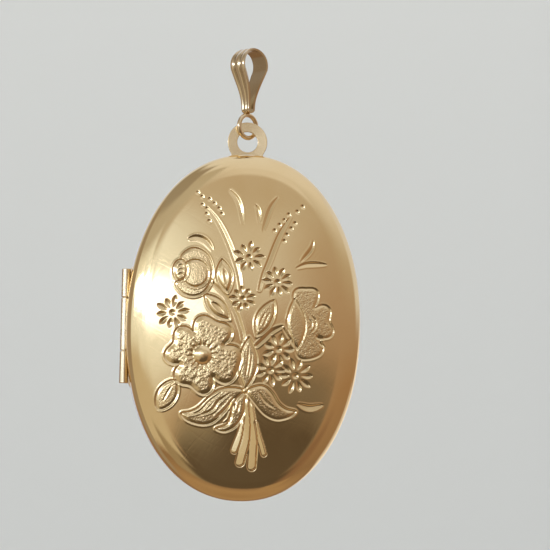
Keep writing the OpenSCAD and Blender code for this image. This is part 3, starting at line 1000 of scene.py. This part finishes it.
def oval_sheet(name, cad_node, material, body):
    """A flat oval sheet with softened edges, just clear of what it lies against."""
    low, high = box_mm(cad_node)
    inset = HALF_H - (high[2] - low[2]) / 2
    near, far, soft = low[1] + SHEET_GAP, high[1] - SHEET_GAP, SHEET_SOFT
    rows = []
    for drawn_in, y in ((soft, near), (0, near + soft), (0, far - soft), (soft, far)):
        x, z = oval_ring(inset + drawn_in, 192)
        rows.append(np.stack([x, np.full(len(x), y), CASE_Z + z], axis=1))
    skinned(name, rows, material, body, cad_node, 30, capped=True)


oval_sheet("clear_window_cover", "window_front", clear_window, "cover")
oval_sheet("clear_window_back", "window_back", clear_window, "back_case")
oval_sheet("blank_card_cover", "picture_front", card, "cover")
oval_sheet("blank_card_back", "picture_back", card, "back_case")


# ---------------------------------------------------------------- hinge

BORE_R = 0.19
WORN = 0.06                     # worn edges of the tubes and the pin


def hinge_turned(name, section, body, cad_node, capped=False):
    """A section of (radius, z) turned about the hinge."""
    a = np.arange(48) * TAU / 48
    rows = [np.stack([HINGE_X + radius * np.cos(a), HINGE_Y + radius * np.sin(a),
                      np.full(len(a), z)], axis=1) for radius, z in section]
    skinned(name, rows, gold_hinge, body, cad_node, 35, capped=capped)


def knuckle(name, cad_node, body):
    """One length of tube."""
    low, high = box_mm(cad_node)
    hinge_turned(name, [
        (BORE_R, low[2]), (KNUCKLE_R - WORN, low[2]), (KNUCKLE_R, low[2] + WORN),
        (KNUCKLE_R, high[2] - WORN), (KNUCKLE_R - WORN, high[2]), (BORE_R, high[2])],
        body, cad_node)


knuckle("hinge_tube_upper", "hinge_knuckle_upper", "back_case")
knuckle("hinge_tube_lower", "hinge_knuckle_lower", "back_case")
knuckle("hinge_tube_middle", "hinge_knuckle_middle", "cover")

PIN_LOW, PIN_HIGH = box_mm("hinge_pin")
PIN_R = (PIN_HIGH[0] - PIN_LOW[0]) / 2
hinge_turned("hinge_pin_wire", [
    (PIN_R * 0.5, PIN_LOW[2]), (PIN_R, PIN_LOW[2] + WORN), (PIN_R, PIN_HIGH[2] - WORN),
    (PIN_R * 0.5, PIN_HIGH[2])], "back_case", "hinge_pin", capped=True)
for cad_name in ("hinge_bearer_upper", "hinge_bearer_lower"):
    slots = frame["nodes"][cad_name].data.materials
    slots.clear()
    slots.append(gold_hinge)


# ---------------------------------------------------------------- eye, ring and bail

EYE_BEND = 0.02                  # how fast the plate's right side curves forward, per mm
EYE_HOLE_R = 0.96
EYE_FOOT_W = 1.5                 # half the width of its foot
EYE_SINK = 0.12                  # how far the foot goes into the case
EYE_SOFT = 0.035                 # worn edges


def top_eye():
    """Flat eye with worn edges, its foot buried in the edge of the back."""
    middle_x = (EYE_HIGH[0] + EYE_LOW[0]) / 2
    outer_r = (EYE_HIGH[0] - EYE_LOW[0]) / 2
    eye_z = EYE_HIGH[2] - outer_r
    foot_drop = eye_z - CASE_Z - HALF_H + EYE_SINK
    a = np.arange(120) * TAU / 120
    c, s = np.cos(a), np.sin(a)
    sides = EYE_FOOT_W / np.maximum(np.abs(c), 1e-3)
    below = foot_drop / np.maximum(-s, 1e-3)
    out_r = np.where(s < 0, np.maximum(outer_r, np.minimum(sides, below)), outer_r)
    low, high, soft = EYE_LOW[1], EYE_HIGH[1], EYE_SOFT
    # One worn edge, as (in from it, back from the face), with rows that keep the faces flat
    edge = [(0, soft + 0.03), (0, soft), (soft * 0.3, soft * 0.3), (soft, 0), (soft + 0.03, 0)]
    front = [(EYE_HOLE_R, shift, low + back) for shift, back in edge]
    front += [(out_r, -shift, low + back) for shift, back in edge[::-1]]
    section = front + [(radius, shift, high + low - y) for radius, shift, y in front[::-1]]
    rows = []
    for radius, shift, y in section:
        radius = radius + shift
        bent = EYE_BEND * np.maximum(radius * c, 0) ** 2
        rows.append(np.stack([middle_x + radius * c, y - bent, eye_z + radius * s], axis=1))
    skinned("top_eye_plate", rows, gold_brushed, "back_case", "top_eye", 50)


top_eye()

SWING = JOINTS["case_swing"]
SWING_AXIS = Vector(SWING["axis"]).normalized()
RING_C = np.array(SWING["pos_m"]) / MM
BAIL_TURN = math.atan2(SWING_AXIS[1], SWING_AXIS[0])
ACROSS = np.array([math.cos(BAIL_TURN), math.sin(BAIL_TURN), 0.0])
OUTWARD = np.array([math.sin(BAIL_TURN), -math.cos(BAIL_TURN), 0.0])
UP = np.array([0.0, 0.0, 1.0])


WIRE_R = 0.22


def bail_ring():
    """Ring of round wire that the eye hangs on."""
    mean = (RING_HIGH[2] - RING_LOW[2]) / 2 - WIRE_R
    rows = []
    for a in np.arange(96) * TAU / 96:
        row = []
        for b in np.arange(20) * TAU / 20:
            r = mean + WIRE_R * math.cos(b)
            row.append(RING_C + OUTWARD * r * math.cos(a) + UP * r * math.sin(a)
                       + ACROSS * WIRE_R * math.sin(b))
        rows.append(row)
    skinned("bail_ring_wire", rows, gold_bail, "bail", "bail_ring", 180)


bail_ring()

LOOP_R = LOOP_HIGH[2]
NECK_R = 0.45
NECK_Z = RING_HIGH[2] + NECK_R - 0.06       # its round sinks a little into the ring
STRIP_T = 0.25
STRIP_W = 1.9
STRIP_NECK_W = 1.0
TOP_DRAW = 0.12                             # share of its width lost over the top
WIDEN_FROM, WIDEN_TO = NECK_Z - 0.3, -0.4   # heights between which the strip widens
FLUTE_DEPTH = 0.12
FLUTE_AT, FLUTE_W = 0.42, 0.15              # shares of the strip's half width
NECK_FLUTE = 0.45                           # share of the flutes' depth left at the neck
EDGE_WEAR = 0.05                            # how much is worn off the strip's outer edges
WORN_SHARE = 0.16                           # and over what share of its half width
INSIDE_W = 0.98                             # the inner face's width, as a share
INSIDE_SHADE = 0.75                         # painted shade darkening the inside of the loop
LEAF_PINCH = 0.26                           # how far both leaves curve in over the neck
ROUND_STEPS, LEAF_STEPS, TOP_STEPS = 14, 26, 30


def bail_path():
    """Way round the folded strip: where its outer face turns, as (cos, sin, radius, height)."""
    lean = math.asin((LOOP_R - NECK_R) / -NECK_Z)
    path = []
    for i in range(ROUND_STEPS + 1):
        a = -math.pi / 2 + (math.pi / 2 - lean) * i / ROUND_STEPS
        path.append((math.cos(a), math.sin(a), NECK_R, NECK_Z))
    for i in range(1, LEAF_STEPS):
        t = i / LEAF_STEPS
        radius = NECK_R + (LOOP_R - NECK_R) * t - LEAF_PINCH * math.sin(math.pi * t ** 0.8)
        path.append((math.cos(-lean), math.sin(-lean), radius, NECK_Z * (1 - t)))
    for i in range(TOP_STEPS + 1):
        a = -lean + (math.pi / 2 + lean) * i / TOP_STEPS
        path.append((math.cos(a), math.sin(a), LOOP_R, 0.0))
    return path + [(-c, s, r, z) for c, s, r, z in path[-2:0:-1]]


def flute_profile(w):
    """How far the strip's outer face is sunk at a share w of its half width.

    Two flutes run between three rounded ribs.
    """
    flute = math.exp(-((abs(w) - FLUTE_AT) / FLUTE_W) ** 2)
    worn_edge = EDGE_WEAR * max(0.0, (abs(w) - 1 + WORN_SHARE) / WORN_SHARE) ** 2
    return FLUTE_DEPTH * flute + worn_edge


def bail_loop():
    """Folded strip, fluted outside and plain inside, widest over the top."""
    across = 48
    marks = [-1 + 2 * i / across for i in range(across + 1)]
    path = bail_path()
    rows = []
    for c, s, radius, z0 in path:
        z_out = z0 + radius * s
        high = float(smooth_step(np.array(z_out), WIDEN_FROM, WIDEN_TO))
        half = STRIP_NECK_W / 2 + (STRIP_W - STRIP_NECK_W) / 2 * high
        half = half * (1 - TOP_DRAW * max(0.0, z_out / LOOP_R) ** 2)
        share = NECK_FLUTE + (1 - NECK_FLUTE) * high
        ring = [(w * half, radius - flute_profile(w) * share) for w in marks]
        ring += [(w * half * INSIDE_W, radius - STRIP_T) for w in marks[::-1]]
        rows.append([OUTWARD * (r * c) + UP * (z0 + r * s) + ACROSS * offset
                     for offset, r in ring])
    piece = skinned("bail_strip", rows, gold_bail, "bail", "bail_loop", 60, flip=True)
    # Painted shade: the flutes, by how deep they are, and the inside of the loop are darkened
    sunk = [min(1.0, flute_profile(w) / FLUTE_DEPTH) for w in marks]
    mark_points(piece, "cut", np.tile(sunk + [INSIDE_SHADE] * len(marks), len(path)))


bail_loop()


# ---------------------------------------------------------------- stage, light and camera

pale, _, pale_shader = new_material("pale_stage")
pale_shader.inputs["Base Color"].default_value = (0.635, 0.64, 0.60, 1)
pale_shader.inputs["Roughness"].default_value = 0.95
pale_shader.inputs["Specular IOR Level"].default_value = 0.1


def stage_plane(name, corners):
    """A pale sheet of the studio. The gold reflects the room's light instead of it."""
    mesh = bpy.data.meshes.new(name)
    mesh.from_pydata(corners, [], [(0, 1, 2, 3)])
    mesh.materials.append(pale)
    made = bpy.data.objects.new(name, mesh)
    made.visible_glossy = False
    bpy.context.scene.collection.objects.link(made)


CENTRE = Vector((0, SEAM_Y * MM, CASE_Z * MM))
FLOOR_Z = cad_box[0][2] - 0.12
WALL_Y = 0.55
SPAN = 1.6
SQUARE = ((-SPAN, -SPAN), (SPAN, -SPAN), (SPAN, SPAN), (-SPAN, SPAN))
stage_plane("floor", [(a, b, FLOOR_Z) for a, b in SQUARE])
stage_plane("backdrop", [(a, WALL_Y, b) for a, b in SQUARE])


def wall_wash():
    """Soft light on the backdrop from above, a little stronger at its top."""
    data = bpy.data.lights.new("wall_wash", "AREA")
    data.shape = "RECTANGLE"
    data.size, data.size_y = 1.2, 0.5
    data.energy = 3.0
    data.color = (1.0, 1.0, 0.975)
    made = bpy.data.objects.new("wall_wash", data)
    made.location = (0.0, 0.1, 0.55)
    aim = Vector((0, WALL_Y, 0)) - made.location
    made.rotation_euler = aim.to_track_quat("-Z", "Y").to_euler()
    made.visible_glossy = False
    bpy.context.scene.collection.objects.link(made)


wall_wash()


class Room:
    """The light that the gold reflects, painted over directions on the sky.

    Azimuth is 0 towards the front and 90 towards +X; both angles are in degrees.
    """

    def __init__(self):
        world = bpy.data.worlds.new("room")
        bpy.context.scene.world = world
        world.use_nodes = True
        self.tree = tree = world.node_tree
        split = node(tree, "ShaderNodeSeparateXYZ")
        tree.links.new(node(tree, "ShaderNodeTexCoord").outputs["Generated"], split.inputs[0])
        x, y, z = split.outputs
        flat = maths(tree, "ARCTAN2", x, maths(tree, "MULTIPLY", y, -1.0))
        self.azimuth = maths(tree, "MULTIPLY", flat, 180 / math.pi)
        self.elevation = maths(tree, "MULTIPLY", maths(tree, "ARCSINE", z), 180 / math.pi)
        self.colour = None

    def shade(self, stops):
        """The light that varies with elevation alone."""
        share = maths(self.tree, "MULTIPLY_ADD", self.elevation, 1 / 180, 0.5)
        self.colour = ramp(self.tree, share, [(el / 180 + 0.5, c) for el, c in stops])

    def band(self, value, low, high, soft):
        """1 between low and high, falling smoothly to 0 over soft degrees outside."""
        return maths(self.tree, "MULTIPLY", spread(self.tree, value, low - soft, low),
                     spread(self.tree, value, high + soft, high))

    def patch(self, azimuth, elevation, colour, soft=(8, 8), strength=1.0):
        """Paints a soft-edged patch over what is there."""
        across = self.band(self.azimuth, azimuth[0], azimuth[1], soft[0])
        up = self.band(self.elevation, elevation[0], elevation[1], soft[1])
        amount = maths(self.tree, "MULTIPLY", maths(self.tree, "MULTIPLY", across, up), strength)
        self.colour = mixed(self.tree, amount, self.colour, colour)

    def finish(self, seen):
        """Gold meets the painted light; where the camera sees past the stage, it is plain."""
        path = node(self.tree, "ShaderNodeLightPath")
        colour = mixed(self.tree, path.outputs["Is Camera Ray"], self.colour, seen)
        self.tree.links.new(colour, self.tree.nodes["Background"].inputs["Color"])


def light_room():
    room = Room()
    room.shade([(-90, (0.33, 0.22, 0.135)), (-58, (0.39, 0.265, 0.165)), (-38, (0.27, 0.18, 0.12)),
                (-8, (0.35, 0.23, 0.15)), (4, (0.41, 0.31, 0.25)), (14, (0.48, 0.42, 0.37)),
                (24, (0.60, 0.57, 0.58)), (40, (0.72, 0.71, 0.77)), (90, (0.75, 0.77, 0.88))])
    # A lighter stretch in front and above, and the pale ceiling's edge to the right of it
    room.patch((-8, 8), (6, 11), (0.64, 0.63, 0.66), (14, 5), 0.85)
    room.patch((5, 24), (22.5, 32), (0.69, 0.67, 0.71), (8, 4))
    # Warm room to the left, and dim corners up to the left and round to the side
    room.patch((-110, -14), (-30, 4), (0.56, 0.50, 0.42), (14, 9))
    room.patch((-95, -9), (22, 46), (0.49, 0.465, 0.445), (5, 9))
    room.patch((-130, -39), (40, 62), (0.33, 0.30, 0.28), (12, 10))
    # The window at the left: its glow on the walls, then its panes, lower towards the front
    room.patch((-92, -34), (3, 14), (0.86, 0.92, 1.02), (8, 9))
    room.patch((-40, -10), (1, 9), (0.86, 0.92, 1.04), (12, 8))
    room.patch((-11, -1), (3.2, 5.5), (1.7, 1.85, 2.3), (4, 2))
    room.patch((-83, -74), (9.5, 11), (2.6, 2.95, 3.7), (4, 1.5))
    room.patch((-72, -52), (7.5, 11), (8.0, 9.1, 11.5), (5, 2))
    room.patch((-52, -32), (6.5, 9), (8.0, 9.1, 11.5), (6, 1.6))
    room.patch((-32, -22), (4.8, 7.3), (6.0, 6.8, 8.6), (5, 1.4))
    room.patch((-22, -10), (3.6, 5.6), (3.8, 4.3, 5.4), (4, 1.4))
    # The dark side of the room past the window
    room.patch((-123, -95), (-45, 34), (0.33, 0.28, 0.24), (6, 10))
    # The dark of whoever stands in front, wider lower down, and the dim beside it
    room.patch((-46, -16), (-40, -24), (0.33, 0.27, 0.20), (10, 5))
    room.patch((0, 34), (-38, -16), (0.25, 0.155, 0.105), (18, 9))
    room.patch((-5, 8), (-38, -8), (0.26, 0.235, 0.195), (1.5, 3))
    room.patch((5, 20), (-38, -3), (0.20, 0.16, 0.125), (6, 4))
    room.patch((5, 17), (-38, -8), (0.10, 0.075, 0.055), (5, 4))
    room.patch((-5, 16), (-38, -11), (0.11, 0.085, 0.065), (3, 4))
    room.patch((-10, 17), (-38, -15), (0.11, 0.085, 0.065), (5, 4))
    room.patch((-14, 22), (-38, -27), (0.105, 0.08, 0.06), (13, 8))
    room.patch((26, 46), (-52, -43), (0.38, 0.26, 0.16), (6, 4))
    # Pale wall close behind, seen along the right edge
    room.patch((98, 135), (8, 34), (0.68, 0.69, 0.80), (18, 8))
    room.patch((152, 180), (-12, 45), (0.70, 0.74, 0.84), (30, 14))
    room.patch((106, 122), (-30, -12), (0.62, 0.56, 0.56), (8, 6))
    room.patch((126, 150), (-28, -2), (0.92, 0.90, 0.99), (10, 7))
    room.patch((-180, -162), (0, 45), (0.68, 0.78, 1.05), (40, 16))
    room.finish((0.62, 0.62, 0.61))


light_room()

PHOTO_SPAN = 51.65              # millimetres across the picture at the case's seam
CAMERA_AWAY = 200.0
CAMERA_LEFT = math.radians(5.9)
CAMERA_LOW = math.radians(2.3)
CAMERA_ROLL = math.radians(1.32)
AIM = (2.888, 5.005)            # the picture's middle, right of and above the case's middle


def place_camera():
    data = bpy.data.cameras.new("camera")
    data.sensor_width = 36.0
    data.clip_start = 0.01
    made = bpy.data.objects.new("camera", data)
    bpy.context.scene.collection.objects.link(made)
    bpy.context.scene.camera = made
    way = Vector((-math.sin(CAMERA_LEFT) * math.cos(CAMERA_LOW),
                  -math.cos(CAMERA_LEFT) * math.cos(CAMERA_LOW), -math.sin(CAMERA_LOW)))
    place = CENTRE + way * CAMERA_AWAY * MM
    look = CENTRE + Vector((AIM[0], 0, AIM[1])) * MM - place
    data.lens = data.sensor_width * look.length / (PHOTO_SPAN * MM)
    turn = look.to_track_quat("-Z", "Y").to_matrix().to_4x4()
    made.matrix_world = (Matrix.Translation(place) @ turn
                         @ Matrix.Rotation(CAMERA_ROLL, 4, "Z"))


place_camera()
bpy.context.scene.view_settings.view_transform = "Standard"
